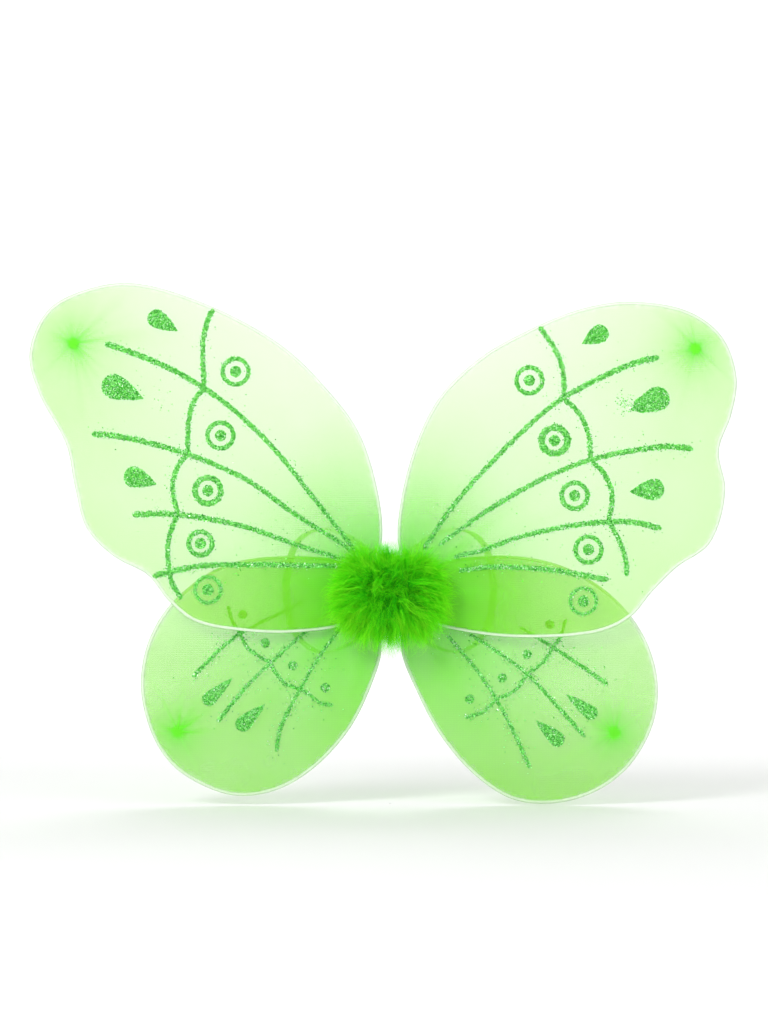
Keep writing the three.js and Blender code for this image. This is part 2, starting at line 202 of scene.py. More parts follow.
def to_row(side, level, points):
    """Wing coordinates (x, depth from the wing's plane, z) to row coordinates, in millimetres."""
    p = np.asarray(points, float)
    turn = -side * SWEEP[level]
    x, y = p[:, 0] - side * BUNDLE_X, p[:, 1] + PLANE_Y[level]
    c, s = math.cos(turn), math.sin(turn)
    return np.column_stack([side * BUNDLE_X + x * c - y * s, BUNDLE_Y + x * s + y * c, p[:, 2]])


def make_mesh(name, points, faces, material, smooth=True):
    """A mesh object from row coordinates in millimetres. Faces are an array or a list of tuples."""
    mesh = bpy.data.meshes.new(name)
    points = np.asarray(points, np.float32) * MM
    if isinstance(faces, np.ndarray):
        count, sides = faces.shape
        mesh.vertices.add(len(points))
        mesh.vertices.foreach_set("co", points.ravel())
        mesh.loops.add(count * sides)
        mesh.loops.foreach_set("vertex_index", faces.astype(np.int32).ravel())
        mesh.polygons.add(count)
        mesh.polygons.foreach_set("loop_start", np.arange(0, count * sides, sides, dtype=np.int32))
        mesh.polygons.foreach_set("loop_total", np.full(count, sides, np.int32))
        mesh.update(calc_edges=True)
    else:
        mesh.from_pydata([tuple(map(float, p)) for p in points], [], faces)
    mesh.polygons.foreach_set("use_smooth", np.full(len(mesh.polygons), smooth))
    mesh.materials.append(material)
    mesh.update()
    obj = bpy.data.objects.new(name, mesh)
    bpy.context.scene.collection.objects.link(obj)
    return obj


def fix_normals(obj):
    """Turns every face outward."""
    bm = bmesh.new()
    bm.from_mesh(obj.data)
    bmesh.ops.recalc_face_normals(bm, faces=bm.faces[:])
    bm.to_mesh(obj.data)
    bm.free()


def piece(name, points, faces, material, body, node=None):
    """A piece that rides a body, with its material's slot and the CAD node it stands for."""
    obj = make_mesh(name, points, faces, material)
    fix_normals(obj)
    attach(obj, body)
    if node:
        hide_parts(node)
    return obj


def set_attribute(obj, name, values):
    """A number for each vertex, which the materials read."""
    layer = obj.data.attributes.new(name, "FLOAT", "POINT")
    layer.data.foreach_set("value", np.asarray(values, np.float32).ravel())


def tube_faces(rings, around, offset=0, capped=True):
    """Quads of a tube of rings; the ends are closed by single faces when capped."""
    i, j = np.meshgrid(np.arange(rings - 1), np.arange(around), indexing="ij")
    a, b = i * around + j, i * around + (j + 1) % around
    quads = np.stack([a, b, b + around, a + around], -1).reshape(-1, 4) + offset
    faces = [tuple(map(int, f)) for f in quads]
    if capped:
        faces.append(tuple(range(offset + around - 1, offset - 1, -1)))
        last = offset + (rings - 1) * around
        faces.append(tuple(range(last, last + around)))
    return faces


def circle_angles(count):
    """Angles evenly round a circle, the first one 0."""
    return np.arange(count) / count * 2 * math.pi


def side_normals(line):
    """The direction across a flat line at each of its points."""
    t = tangents(line)
    return np.column_stack([-t[:, 1], t[:, 0]])


def planar_tube(line, radius, around):
    """A tube along a line in the wing's plane, as wing coordinates, with a radius for each point."""
    n = side_normals(line)
    a = circle_angles(around)
    section = np.column_stack([np.cos(a), np.sin(a)])
    r = np.broadcast_to(np.asarray(radius, float), (len(line),))[:, None]
    x = line[:, :1] + n[:, :1] * section[:, 0] * r
    z = line[:, 1:] + n[:, 1:] * section[:, 0] * r
    y = section[:, 1] * r
    return np.stack([x, y + 0 * x, z], -1).reshape(-1, 3)


def inside(points, polygon):
    """Which points lie inside a polygon."""
    x, z = points[:, 0], points[:, 1]
    hit = np.zeros(len(points), bool)
    for (x0, z0), (x1, z1) in zip(polygon, np.roll(polygon, -1, axis=0)):
        crosses = (z0 > z) != (z1 > z)
        hit ^= crosses & (x < (x1 - x0) * (z - z0) / (z1 - z0 + 1e-12) + x0)
    return hit


def distance_to(points, others):
    """Each point's distance to the nearest of the others."""
    out, batch = np.empty(len(points)), 2000
    for i in range(0, len(points), batch):
        d = points[i : i + batch, None] - others[None]
        out[i : i + batch] = np.sqrt((d**2).sum(-1)).min(1)
    return out


def soft_noise(points, size, seed):
    """Smooth noise of about this size in millimetres, from -1 to 1, from a few sine waves."""
    rng = np.random.default_rng(seed)
    total = 0
    for _ in range(7):
        way = rng.normal(size=points.shape[1])
        way *= rng.uniform(0.6, 1.6) / np.linalg.norm(way) / size * 2 * math.pi
        total = total + np.sin(points @ way + rng.uniform(0, 6.28))
    return total / 7 * 1.6


# ---------------------------------------------------------------- materials

class Nodes:
    """Short ways to add and join shader nodes."""

    def __init__(self, name, **sockets):
        self.material = bpy.data.materials.new(name)
        self.material.use_nodes = True
        self.tree = self.material.node_tree
        self.shader = self.tree.nodes["Principled BSDF"]
        self.set(self.shader, **sockets)

    def set(self, node, **sockets):
        for key, value in sockets.items():
            node.inputs[key.replace("_", " ")].default_value = value

    def add(self, kind, properties=None, **sockets):
        node = self.tree.nodes.new(kind)
        for key, value in (properties or {}).items():
            setattr(node, key, value)
        self.set(node, **sockets)
        return node

    def link(self, source, node, socket):
        self.tree.links.new(source, node.inputs[socket])

    def coords(self, scale=(1, 1, 1)):
        where = self.add("ShaderNodeTexCoord")
        mapping = self.add("ShaderNodeMapping")
        mapping.inputs["Scale"].default_value = scale
        self.link(where.outputs["Object"], mapping, "Vector")
        return mapping.outputs["Vector"]

    def noise(self, scale, detail=2.0, vector=None, roughness=0.5):
        node = self.add("ShaderNodeTexNoise", Scale=scale, Detail=detail, Roughness=roughness)
        self.link(vector or self.coords(), node, "Vector")
        return node.outputs["Fac"]

    def bands(self, direction, scale, distortion):
        kind = {"wave_type": "BANDS", "bands_direction": direction}
        node = self.add("ShaderNodeTexWave", kind, Scale=scale, Distortion=distortion, Detail=1.0)
        self.link(self.coords(), node, "Vector")
        return node.outputs["Fac"]

    def attribute(self, name):
        return self.add("ShaderNodeAttribute", {"attribute_name": name}).outputs["Fac"]

    def math(self, operation, a, b=None, clamp=False):
        node = self.add("ShaderNodeMath", {"operation": operation, "use_clamp": clamp})
        for k, value in enumerate((a, b)):
            if value is None:
                continue
            if isinstance(value, (int, float)):
                node.inputs[k].default_value = value
            else:
                self.tree.links.new(value, node.inputs[k])
        return node.outputs[0]

    def ramp(self, source, stops):
        node = self.add("ShaderNodeValToRGB")
        ramp = node.color_ramp
        while len(ramp.elements) < len(stops):
            ramp.elements.new(0.5)
        for element, (at, colour) in zip(ramp.elements, stops):
            element.position = at
            element.color = (*colour, 1) if len(colour) == 3 else colour
        self.link(source, node, "Fac")
        return node.outputs["Color"]

    def colour(self, source):
        self.link(source, self.shader, "Base Color")

    def bump(self, source, strength, distance):
        node = self.add("ShaderNodeBump", Strength=strength, Distance=distance)
        self.link(source, node, "Height")
        self.link(node.outputs["Normal"], self.shader, "Normal")


COLOUR_A, COLOUR_B, COLOUR_OUT = 6, 7, 2  # a Mix node's colour sockets, which share names with others


def nylon_material():
    """Sheer stretch nylon: coverage and depth of colour come from the sheet's own values."""
    n = Nodes("nylon", Roughness=0.55, Sheen_Weight=0.25, Sheen_Roughness=0.4, Specular_IOR_Level=0.25)
    tone = n.attribute("tone")
    blotch = n.noise(38, 3.0)
    shade = n.math("ADD", tone, n.math("MULTIPLY", n.math("SUBTRACT", blotch, 0.5), 0.16), True)
    pale = n.ramp(shade, [
        (0.0, (0.42, 0.99, 0.02)), (0.5, (0.34, 0.86, 0.012)), (1.0, (0.24, 0.74, 0.008))])
    mix = n.add("ShaderNodeMix", {"data_type": "RGBA"})
    n.link(n.attribute("vivid"), mix, "Factor")
    n.link(pale, mix, COLOUR_A)
    mix.inputs[COLOUR_B].default_value = (0.15, 0.88, 0.02, 1)
    n.colour(mix.outputs[COLOUR_OUT])
    # The knit: fine courses and wales a little over half a millimetre apart.
    knit = n.math("MULTIPLY", n.bands("X", 260, 1.6), n.bands("Z", 210, 1.6))
    thick = n.math("ADD", n.math("MULTIPLY", knit, 0.14), 0.95)
    patch = n.math("ADD", n.math("MULTIPLY", n.noise(16, 2.0), 0.3), 0.85)
    cover = n.math("MULTIPLY", n.math("MULTIPLY", n.attribute("cover"), thick), patch, True)
    n.link(cover, n.shader, "Alpha")
    n.bump(knit, 0.25, 0.0002)
    return n.material


def wire_material():
    n = Nodes("coated_wire", Roughness=0.38, Specular_IOR_Level=0.5)
    n.colour(n.ramp(n.noise(300, 3.0), [(0.3, (0.84, 0.92, 0.80)), (0.7, (0.93, 0.97, 0.91))]))
    n.bump(n.noise(900, 2.0), 0.2, 0.0001)
    return n.material


def glitter_material(name, dark, mid, light, metallic):
    """Glitter binder or flakes: each cell of the print has its own shade, partly the grains' own mix and
    partly painted glints on the lightest cells and painted shade on the darkest.
    """
    n = Nodes(name, Roughness=0.3, Metallic=metallic, Specular_IOR_Level=0.7)
    cells = n.add("ShaderNodeTexVoronoi", {"feature": "F1"}, Scale=1500.0)
    n.link(n.coords(), cells, "Vector")
    split = n.add("ShaderNodeSeparateColor")
    n.link(cells.outputs["Color"], split, "Color")
    n.colour(n.ramp(split.outputs["Red"], [(0.12, dark), (0.5, mid), (0.93, light)]))
    n.bump(cells.outputs["Distance"], 0.6, 0.0002)
    return n.material


def flake_material():
    n = Nodes("glitter_flakes", Roughness=0.3, Metallic=0.3, Specular_IOR_Level=0.3)
    # From dark flakes, partly painted shade, to near-white ones, painted glints; the middle shades are the
    # glitter's own mix.
    n.colour(n.ramp(n.attribute("shade"), [
        (0.0, (0.01, 0.24, 0.02)), (0.3, (0.05, 0.50, 0.03)), (0.6, (0.13, 0.76, 0.06)),
        (0.85, (0.32, 0.97, 0.26)), (1.0, (0.75, 1.0, 0.7))]))
    return n.material


def feather_material():
    n = Nodes("marabou", Roughness=0.8, Specular_IOR_Level=0.12)
    # The shade attribute carries painted light and shade: dark in the hollows and inner fluff, bright toward
    # the rim and the barb tips.
    n.colour(n.ramp(n.attribute("shade"), [
        (0.0, (0.004, 0.24, 0.004)), (0.3, (0.022, 0.64, 0.003)), (0.6, (0.11, 0.97, 0.003)),
        (1.0, (0.32, 1.0, 0.02))]))
    return n.material


def cloth_material(name, dark, light, scale, bump, stretch=(1, 1, 1), rough=0.9):
    """Felt, thread or tape: fibres seen as fine noise, with a slower change of shade."""
    n = Nodes(name, Roughness=rough, Sheen_Weight=0.3, Specular_IOR_Level=0.2)
    fibres = n.noise(scale, 5.0, n.coords(stretch), 0.65)
    drift = n.noise(70, 2.0)
    mix = n.math("ADD", n.math("MULTIPLY", fibres, 0.65), n.math("MULTIPLY", drift, 0.35))
    n.colour(n.ramp(mix, [(0.3, dark), (0.7, light)]))
    n.bump(fibres, 0.6, bump)
    return n.material


def elastic_material():
    """Braided elastic: slanting threads between raised ribs."""
    n = Nodes("elastic", Roughness=0.8, Sheen_Weight=0.25, Specular_IOR_Level=0.2)
    braid = n.bands("DIAGONAL", 420, 0.8)
    n.colour(n.ramp(braid, [(0.1, (0.78, 0.86, 0.72)), (0.8, (0.94, 0.97, 0.91))]))
    n.bump(braid, 0.5, 0.0002)
    return n.material


NYLON = nylon_material()
WIRE = wire_material()
BINDER = glitter_material("glitter_binder", (0.02, 0.36, 0.03), (0.10, 0.66, 0.05), (0.36, 0.92, 0.2), 0.1)
FLAKES = flake_material()
FEATHER = feather_material()
GATHER = cloth_material("gathered_nylon", (0.15, 0.72, 0.03), (0.36, 0.95, 0.10), 1400, 0.0003, rough=0.65)
THREAD = cloth_material("thread", (0.05, 0.38, 0.04), (0.14, 0.62, 0.1), 2600, 0.0002, rough=0.7)
TAPE = cloth_material("tape", (0.62, 0.72, 0.56), (0.8, 0.87, 0.74), 1600, 0.0002, (1, 1, 3), 0.6)
FELT = cloth_material("felt", (0.1, 0.45, 0.05), (0.24, 0.68, 0.13), 1500, 0.0005)
ELASTIC = elastic_material()


# ---------------------------------------------------------------- wings

def wing_lines(name, side, level):
    """The wire's centre line, and the line of the gathered neck between its two legs."""
    start = (side * (BUNDLE_X - 1), level * 20.8)
    finish = (side * (BUNDLE_X + 7.8), -level * 8.0)
    wire = smooth_line([start, *WINGS[name]["outline"], finish], 2.5)
    step = 6  # points of wire at each end that the nylon leaves bare
    bow = 26.1  # how far out the neck bows
    neck = smooth_line([
        wire[step],
        (side * (bow - 5), level * 23.8),
        (side * (bow - 0.5), level * 12),
        (side * bow, 0),
        wire[-1 - step],
    ], 2.5)
    return wire, neck, step


class Sheer:
    """The nylon of one wing: its rim, its folds, and how much of the light it stops."""

    def __init__(self, name, side, level):
        wire, neck, step = wing_lines(name, side, level)
        self.rim = np.vstack([wire[step:-step], neck[1:-1][::-1]])
        self.knot = np.array(WINGS[name]["knot"], float)
        self.root = np.array([side * 16.0, 0.0])
        self.level = level
        rng = np.random.default_rng(sum(map(ord, name)))
        inward = math.atan2(*(self.root - self.knot)[::-1])
        count = 34 if level == UPPER else 22
        self.star = self.folds(rng, inward, 2.2 if level == UPPER else 0.9, count, (0.06, 0.13), (6, 15))
        self.wisps = self.folds(rng, inward, 1.2, 9, (0.05, 0.09), (18, 34))
        outward = math.atan2(*(self.rim.mean(0) - self.root)[::-1])
        self.fan = self.folds(rng, outward, 0.75, 34, (0.05, 0.10), (28, 75))

    @staticmethod
    def folds(rng, toward, spread, count, width, reach):
        return np.column_stack([toward + spread * rng.normal(size=count), rng.uniform(*width, count),
                                rng.uniform(*reach, count), rng.uniform(0.3, 1, count)])

    @staticmethod
    def radiating(points, centre, folds):
        """The height of folds radiating from a centre: 1 is a full fold."""
        offset = points - centre
        r = np.linalg.norm(offset, axis=1)
        angle = np.arctan2(offset[:, 1], offset[:, 0])
        total = np.zeros(len(points))
        for toward, width, reach, strength in folds:
            away = (angle - toward + math.pi) % (2 * math.pi) - math.pi
            total += strength * np.exp(-((away / width) ** 2)) * np.exp(-r / reach)
        return total * np.clip(r / 1.5, 0, 1)

    def depths(self, points):
        """The front and back layers' depth, in the wing's coordinates."""
        ease = np.clip(distance_to(points, self.rim[::2]) / 8, 0, 1)
        to_knot = np.linalg.norm(points - self.knot, axis=1)
        star = self.radiating(points, self.knot, self.star)
        star += 0.6 * self.radiating(points, self.knot, self.wisps)
        fan = self.radiating(points, self.root, self.fan)
        slack = 0.14 * soft_noise(points, 42, 11)
        front = -SKIN_R + ease * (slack - 0.30 * fan - 0.12 * star)
        back = SKIN_R + ease * (slack + 0.45 * fan + 0.75 * star + 0.5 * np.exp(-((to_knot / 4.0) ** 2)))
        return front, back

    def density(self, points):
        """How much light both layers stop together, before the pleats."""
        set_by = DENSITY[self.level]
        to_knot = np.linalg.norm(points - self.knot, axis=1)
        to_neck = np.hypot(points[:, 0] - self.root[0], points[:, 1] / NECK_STRETCH)
        return (set_by["least"]
                + set_by["down"] * (set_by["top"] - points[:, 1])
                + set_by["outward"] * np.abs(points[:, 0])
                + set_by["knot"] * np.exp(-to_knot / KNOT_REACH)
                + set_by["neck"] * np.exp(-((to_neck / set_by["neck_reach"]) ** 2)))

    def cover(self, points):
        """One layer's cover, its depth of tone, and how vivid its green is."""
        total = self.density(points)
        to_knot = np.linalg.norm(points - self.knot, axis=1)
        to_root = np.linalg.norm(points - self.root, axis=1)
        star = self.radiating(points, self.knot, self.star)
        wisps = self.radiating(points, self.knot, self.wisps)
        fan = self.radiating(points, self.root, self.fan)
        tone = np.clip((total - 0.25) / 0.6, 0, 1)
        layer = 1 - np.sqrt(1 - np.clip(total, 0, 0.97))
        core = np.exp(-((to_knot / 3.8) ** 2))
        halo = np.exp(-((to_knot / 14.0) ** 1.3))
        layer = layer + 0.22 * halo + 0.17 * star + 0.09 * wisps + 0.5 * core + 0.07 * fan
        root_reach = 72 if self.level == UPPER else 92
        by_root = 0.9 * np.exp(-((to_root / root_reach) ** 1.5))
        vivid = 0.8 * halo + 0.3 * star + 0.2 * wisps + core + by_root + 0.1 * fan
        return np.clip(layer, 0.05, 0.95), tone, np.clip(vivid, 0, 1)


def make_nylon(name, side, level):
    """The stocking over the loop: a front and a back layer joined round the wire, with pleats."""
    sheer = Sheer(name, side, level)
    rim, knot = sheer.rim, sheer.knot
    lo, hi = rim.min(0), rim.max(0)

    def lattice(step):
        gx, gz = np.meshgrid(np.arange(lo[0], hi[0], step), np.arange(lo[1], hi[1], step * 0.9))
        gx[1::2] += step / 2
        return np.column_stack([gx.ravel(), gz.ravel()])

    # The grid is finer over the folds by the root, and runs in rings round the knot
    root_reach, knot_reach, spokes = 78, 32, 108
    coarse, fine = lattice(3.4), lattice(2.1)
    coarse = coarse[np.linalg.norm(coarse - sheer.root, axis=1) > root_reach]
    fine = fine[np.linalg.norm(fine - sheer.root, axis=1) <= root_reach]
    grid = np.vstack([coarse, fine])
    grid = grid[np.linalg.norm(grid - knot, axis=1) > knot_reach + 1]
    polar = []
    for k, r in enumerate(np.geomspace(1.8, knot_reach, 18)):
        a = circle_angles(spokes) + (k % 2) * math.pi / spokes
        polar.append(knot + r * np.column_stack([np.cos(a), np.sin(a)]))
    grid = np.vstack([grid, *polar, knot[None]])
    grid = grid[inside(grid, rim)]
    grid = grid[distance_to(grid, rim) > 1.8]
    points = np.vstack([rim, grid])
    count = len(rim)
    edges = [(i, (i + 1) % count) for i in range(count)]
    made = delaunay_2d_cdt([Vector(p) for p in points], edges, [list(range(count))], 1, 1e-4)
    flat = np.array([tuple(v) for v in made[0]])
    tri = np.array([f for f in made[2] if len(f) == 3])
    rim_at = np.full(count, -1)
    for out_index, inputs in enumerate(made[3]):
        for i in inputs:
            if i < count:
                rim_at[i] = out_index

    front, back = sheer.depths(flat)
    front[rim_at], back[rim_at] = -SKIN_R, SKIN_R
    size = len(flat)
    layers = [np.column_stack([flat[:, 0], depth, flat[:, 1]]) for depth in (front, back)]
    t = np.roll(rim, -1, axis=0) - np.roll(rim, 1, axis=0)
    t /= np.linalg.norm(t, axis=1, keepdims=True)
    out = np.column_stack([t[:, 1], -t[:, 0]])
    if inside(rim + out * 0.5, rim).mean() > 0.5:
        out = -out
    angles = [math.radians(x) for x in (60, 30, 0, -30, -60)]
    for angle in angles:
        ring = rim + out * SKIN_R * math.cos(angle)
        layers.append(np.column_stack([ring[:, 0], np.full(count, -SKIN_R * math.sin(angle)), ring[:, 1]]))
    points3 = np.vstack(layers)
    first, second = flat[tri[:, 1]] - flat[tri[:, 0]], flat[tri[:, 2]] - flat[tri[:, 0]]
    area = first[:, 0] * second[:, 1] - second[:, 0] * first[:, 1]
    tri = np.where((area > 0)[:, None], tri, tri[:, ::-1])
    mesh_faces = [tuple(map(int, f)) for f in tri] + [tuple(map(int, f)) for f in tri[:, ::-1] + size]
    bands = [rim_at] + [2 * size + k * count + np.arange(count) for k in range(len(angles))] + [size + rim_at]
    for upper_band, lower_band in zip(bands, bands[1:]):
        for i in range(count):
            j = (i + 1) % count
            corners = upper_band[i], lower_band[i], lower_band[j], upper_band[j]
            mesh_faces.append(tuple(map(int, corners)))
    obj = piece(name + "_nylon_cover", to_row(side, level, points3), mesh_faces, NYLON,
                name, name + "_nylon")
    cover, tone, vivid = sheer.cover(points3[:, [0, 2]])
    where = np.arange(len(points3))
    cover = np.where(where < size, cover * 0.92, cover)
    cover[:size][rim_at] *= 0.25
    for k, angle in enumerate(angles):
        band = slice(2 * size + k * count, 2 * size + (k + 1) * count)
        cover[band] = cover[band] * 0.3 + 0.30 * math.cos(angle) ** 5
        # Deepest tone on the band round the wire: partly the deeper green of nylon seen edge-on, partly
        # painted shade on the rim's outline.
        tone[band] = 1.0
    set_attribute(obj, "cover", np.clip(cover, 0.03, 0.96))
    set_attribute(obj, "tone", tone)
    set_attribute(obj, "vivid", vivid)


def make_wire(name, side, level):
    """The coated wire, whose two ends run on into the taped bundle."""
    wire = wing_lines(name, side, level)[0]
    rng = np.random.default_rng(5)
    start_in_tape = (side * (BUNDLE_X - 1), level * 18.4)
    end_in_tape = (side * (BUNDLE_X + 5.2), -level * 8.0)
    line = np.vstack([start_in_tape, wire, end_in_tape])
    radius = WIRE_R * (1 + 0.015 * rng.normal(size=len(line)))
    around = 14
    points = to_row(side, level, planar_tube(line, radius, around))
    piece(name + "_wire_loop", points, tube_faces(len(line), around), WIRE, name, name + "_wire")


def make_neck(name, side, level):
    """The sleeve's mouth drawn into a cord of folds, whipped with thread."""
    neck = wing_lines(name, side, level)[1]
    line = smooth_line(neck[1:-1], 1.2)
    around = 40
    a = circle_angles(around)
    t = np.linspace(0, 1, len(line))
    points = []
    for i, (p, n) in enumerate(zip(line, side_normals(line))):
        folds = 0.16 * np.cos(8 * a + 3.0 * t[i]) + 0.1 * np.cos(13 * a - 5 * t[i])
        r = 1.55 + 0.2 * math.sin(t[i] * 34) + folds
        x = p[0] + n[0] * r * np.cos(a)
        z = p[1] + n[1] * r * np.cos(a)
        points.append(np.column_stack([x, r * np.sin(a), z]))
    points = to_row(side, level, np.vstack(points))
    piece(name + "_neck_gather", points, tube_faces(len(line), around), GATHER,
          name, name + "_neck")


def revolve_points(profile, around, centre, wobble=None):
    """Rings of (radius, depth) about a line along the wing's Y, as wing coordinates."""
    a = circle_angles(around)
    rings = []
    for k, (r, y) in enumerate(profile):
        rr = r * (wobble(a, k / (len(profile) - 1)) if wobble else 1)
        x, z = centre[0] + rr * np.cos(a), centre[1] + rr * np.sin(a)
        rings.append(np.column_stack([x, np.full(around, y), z]))
    return np.vstack(rings)


def make_knot(name, side, level):
    """A gathered toe: a pleated skirt on the back layer, a tied waist and a frilled end."""
    knot = WINGS[name]["knot"]
    base, top = 1.0, 9.2
    profile = [(0.3, base), (3.7, base + 0.1), (3.4, base + 0.7), (2.8, base + 1.6), (2.3, base + 2.8),
               (2.0, base + 3.6), (2.0, base + 4.6), (2.4, base + 5.4), (2.9, base + 6.4), (3.4, base + 7.4),
               (3.6, top - 0.3), (3.1, top), (2.4, top - 0.8), (1.2, top - 1.8), (0.2, top - 2.0)]

    def folds(a, t):
        deep = 0.07 + 0.20 * abs(t - 0.5) * 2
        return 1 + deep * np.cos(7 * a + 2.0 * t) + 0.6 * deep * np.cos(4 * a + 1) + 0.05 * np.cos(17 * a + 4)

    line = smooth_line(profile, 0.35)
    around = 72
    points = to_row(side, level, revolve_points(line, around, knot, folds))
    piece(name + "_toe_gather", points, tube_faces(len(line), around), GATHER,
          name, name + "_toe_knot")
    # Thread wound round the waist
    turns, steps, thread_r = 5, 28, 0.16
    a = np.linspace(0, turns * 2 * math.pi, turns * steps)
    centre_line = np.column_stack([
        knot[0] + 2.25 * np.cos(a),
        base + 3.55 + 1.1 * a / a[-1],
        knot[1] + 2.25 * np.sin(a),
    ])
    outward = np.column_stack([np.cos(a), 0 * a, np.sin(a)])
    b = circle_angles(8)[None, :, None]
    along = np.array([0, 1.0, 0])
    ring = centre_line[:, None] + thread_r * (outward[:, None] * np.cos(b) + along * np.sin(b))
    points = to_row(side, level, ring.reshape(-1, 3))
    piece(name + "_toe_winding", points, tube_faces(len(a), 8), THREAD,
          name, name + "_toe_thread")


# ---------------------------------------------------------------- glitter print

PRINT_LIFT = 0.15  # the print's distance in front of the nylon
RING_DOT = 4.4  # the radius of the dot inside each ring
# Flakes for each square millimetre
STROKE_FLAKES, RING_FLAKES, FILL_FLAKES = 2.1, 2.0, 2.4


class Print:
    """Gathers one wing's print: strips of binder with ragged edges, and the flakes laid in them."""

    def __init__(self, seed, sheer):
        self.rng = np.random.default_rng(seed)
        self.sheer = sheer
        self.points, self.faces, self.flakes = [], [], []

    def strip(self, line, width):
        """A stroke along a line: width is a number or one for each point of the line."""
        rng = self.rng
        line = smooth_line(line, 0.8)
        n = side_normals(line)
        u = np.linspace(0, 1, len(line))
        w = np.interp(u, np.linspace(0, 1, len(np.atleast_1d(width))), np.atleast_1d(width)) / 2
        ends = np.minimum(u, 1 - u) * len(line) * 0.8
        w = w * np.sqrt(np.clip(ends / np.maximum(w, 0.1), 0.15, 1))
        left = w * 0.86 * (1 + 0.2 * rng.normal(size=len(w)))
        right = w * 0.86 * (1 + 0.2 * rng.normal(size=len(w)))
        self.sheet_between(line + n * left[:, None], line - n * right[:, None])
        length = np.linalg.norm(np.diff(line, axis=0), axis=1).sum()
        count = int(length * w.mean() * 2 * STROKE_FLAKES)
        at = rng.uniform(0, len(line) - 1, count)
        i = at.astype(int)
        off = rng.uniform(-1.12, 1.12, count) * w[i]
        self.flakes.append(line[i] + (line[i + 1] - line[i]) * (at - i)[:, None] + n[i] * off[:, None])

    def sheet_between(self, a, b):
        """A thin closed strip between two edges."""
        start = sum(len(p) for p in self.points)
        rows = []
        depths = [self.sheer.depths(edge)[0] for edge in (a, b)]
        for lift in (PRINT_LIFT - 0.1, PRINT_LIFT):
            for edge, depth in zip((a, b), depths):
                rows.append(np.column_stack([edge[:, 0], depth - lift, edge[:, 1]]))
        count = len(a)
        self.points.append(np.vstack(rows))
        back_a, back_b, front_a, front_b = (start + k * count for k in range(4))
        for i in range(count - 1):
            for p, q in ((front_a, front_b), (back_b, back_a), (back_a, front_a), (front_b, back_b)):
                self.faces.append((p + i, q + i, q + i + 1, p + i + 1))
        for i in (0, count - 1):
            self.faces.append((front_a + i, front_b + i, back_b + i, back_a + i))

    def ring(self, x, z, radius, weight):
        """A printed ring with a dot in its middle."""
        a = np.linspace(0, 2 * math.pi, 90)
        rng = self.rng
        r, w = radius - 1.7, 3.5 * weight
        edge = 1 + 0.012 * rng.normal(size=len(a))
        edge[-1] = edge[0]
        line = np.column_stack([x + r * edge * np.cos(a), z + r * edge * np.sin(a)])
        half = w / 2 * (1 + 0.12 * rng.normal(size=len(a)))
        half[-1] = half[0]
        out = np.column_stack([np.cos(a), np.sin(a)])
        self.sheet_between(line + out * half[:, None], line - out * half[:, None])
        count = int(2 * math.pi * r * w * RING_FLAKES)
        b = rng.uniform(0, 2 * math.pi, count)
        d = r + rng.normal(0, 0.52, count) * w / 2
        self.flakes.append(np.column_stack([x + d * np.cos(b), z + d * np.sin(b)]))
        self.dot(x, z, RING_DOT)

    def dot(self, x, z, radius):
        """A printed dot."""
        a = np.linspace(0, math.pi, 22)
        upper = np.column_stack([x - radius * np.cos(a), z + radius * np.sin(a)])
        lower = np.column_stack([x - radius * np.cos(a), z - radius * np.sin(a)])
        jitter = radius * 0.05 * self.rng.normal(size=(2, len(a), 1)) * np.sin(a)[None, :, None]
        self.sheet_between(upper + jitter[0], lower + jitter[1])
        count = int(math.pi * radius**2 * FILL_FLAKES)
        b = self.rng.uniform(0, 2 * math.pi, count)
        d = radius * 1.03 * np.sqrt(self.rng.uniform(0, 1, count))
        self.flakes.append(np.column_stack([x + d * np.cos(b), z + d * np.sin(b)]))

    def drop(self, head, tip, width):
        """A drop with its round end centred near head and its point at tip."""
        head, tip = np.array(head, float), np.array(tip, float)
        along = tip - head
        length = np.linalg.norm(along)
        along /= length
        across = np.array([-along[1], along[0]])
        r = width / 2 * 1.18
        s = np.linspace(0, 1, 34)
        x = -r + (length + r) * s
        round_end = np.sqrt(np.clip(1 - (x / r) ** 2, 0, 1))
        pointed_end = 1 - np.clip(x / length, 0, 1) ** 1.6
        half = r * np.where(x < 0, round_end, pointed_end)
        ragged = 1 + 0.05 * self.rng.normal(size=(2, len(s)))
        centre = head + along * x[:, None]
        one, other = (half * ragged)[:, :, None]
        self.sheet_between(centre + across * one, centre - across * other)
        count = int(FILL_FLAKES * width * (length + r) * 0.72)
        k = self.rng.uniform(0, 1, count * 2)
        px = -r + (length + r) * k
        ph = np.interp(k, s, half)
        keep = self.rng.uniform(0, r, count * 2) < ph
        off = self.rng.uniform(-1, 1, count * 2) * ph * 1.04
        self.flakes.append((head + along * px[:, None] + across * off[:, None])[keep])

    def stray(self, near, count, spread):
        """Loose glitter that fell beside the print."""
        near = np.asarray(near, float)
        pick = near[self.rng.integers(0, len(near), count)]
        self.flakes.append(pick + self.rng.normal(0, spread, (count, 2)))


